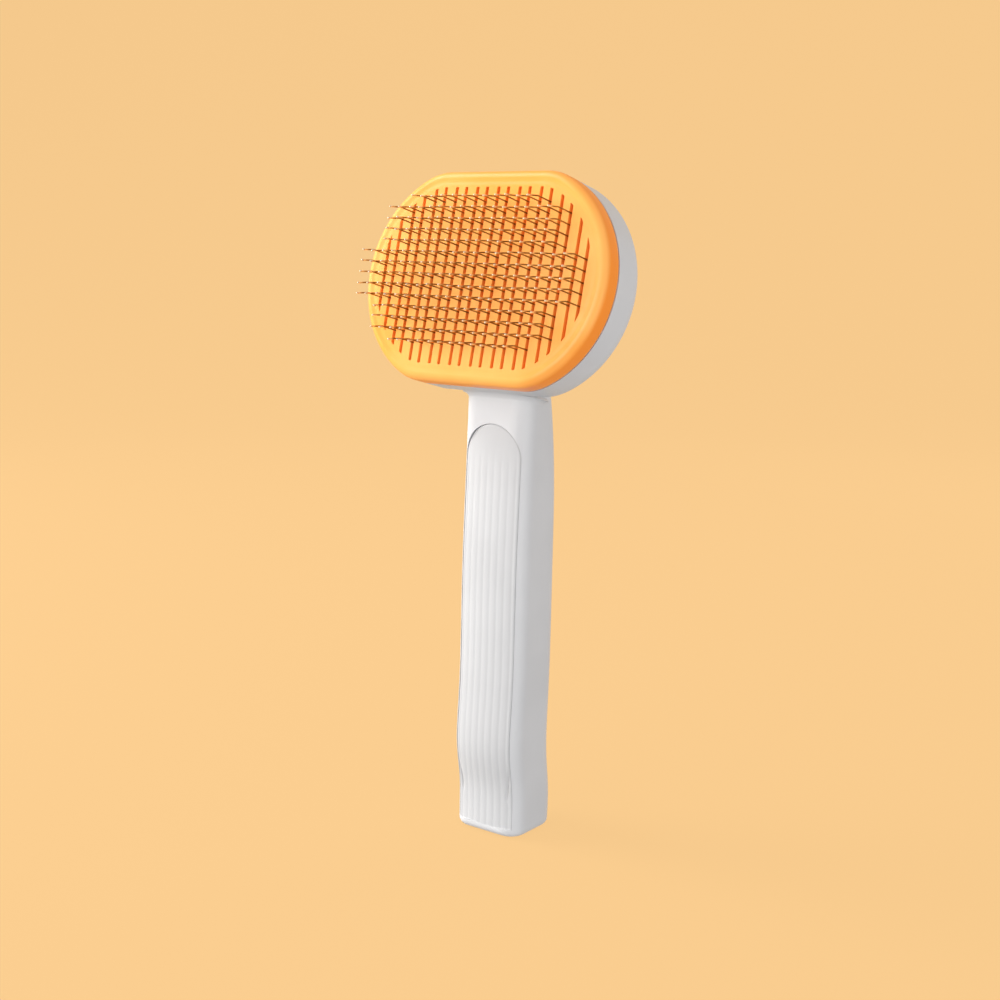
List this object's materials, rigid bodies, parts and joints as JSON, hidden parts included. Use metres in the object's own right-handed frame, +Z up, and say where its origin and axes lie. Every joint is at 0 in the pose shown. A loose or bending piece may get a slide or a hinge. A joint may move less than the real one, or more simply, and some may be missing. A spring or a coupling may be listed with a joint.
{
  "type": "self-cleaning slicker brush",
  "caption": "Upright pet deshedding brush: long white handle, wide oval head with a slotted orange comb plate over bent wire bristles, pushed forward by a rear button to shed the hair.",
  "frame": {"origin": "middle of the flat tail end of the handle", "axes": "+Z up the handle towards the head, -Y the way the bristles face, +X to the right seen from the back"},
  "size_m": [0.0852, 0.054, 0.1975],
  "materials": {
    "white_plastic": "fine satin ABS moulding",
    "white_grip": "satin ABS with fine upright ribs",
    "orange_plastic": "satin orange ABS moulding",
    "inner_plastic": "plain ABS, unseen inside the head",
    "cushion_rubber": "soft rubber sheet",
    "bristle_wire": "bright drawn stainless wire",
    "spring_steel": "zinc plated spring wire",
    "screw_steel": "zinc plated"
  },
  "bodies": {
    "handle": {"main_shell": "white_plastic", "handle_front_cover": "white_grip", "bristle_cushion": "cushion_rubber", "bristle_carrier": "inner_plastic", "bristle_retainer": "inner_plastic", "carrier_screws": "screw_steel", "return_spring": "spring_steel", "bristle_column_01": "bristle_wire", "bristle_column_02": "bristle_wire", "bristle_column_03": "bristle_wire", "bristle_column_04": "bristle_wire", "bristle_column_05": "bristle_wire", "bristle_column_06": "bristle_wire", "bristle_column_07": "bristle_wire", "bristle_column_08": "bristle_wire", "bristle_column_09": "bristle_wire", "bristle_column_10": "bristle_wire"},
    "comb": {"comb_plate": "orange_plastic", "pusher_plate": "inner_plastic", "push_button": "orange_plastic", "plate_screws": "screw_steel"}
  },
  "joints": [
    {"name": "comb_slide", "type": "slide", "parent": "handle", "child": "comb", "axis": [0, -0.9703, 0.2419], "range_m": [0, 0.011], "stiffness_N_per_m": 400, "springref_m": -0.008, "deforming": ["return_spring"]}
  ]
}
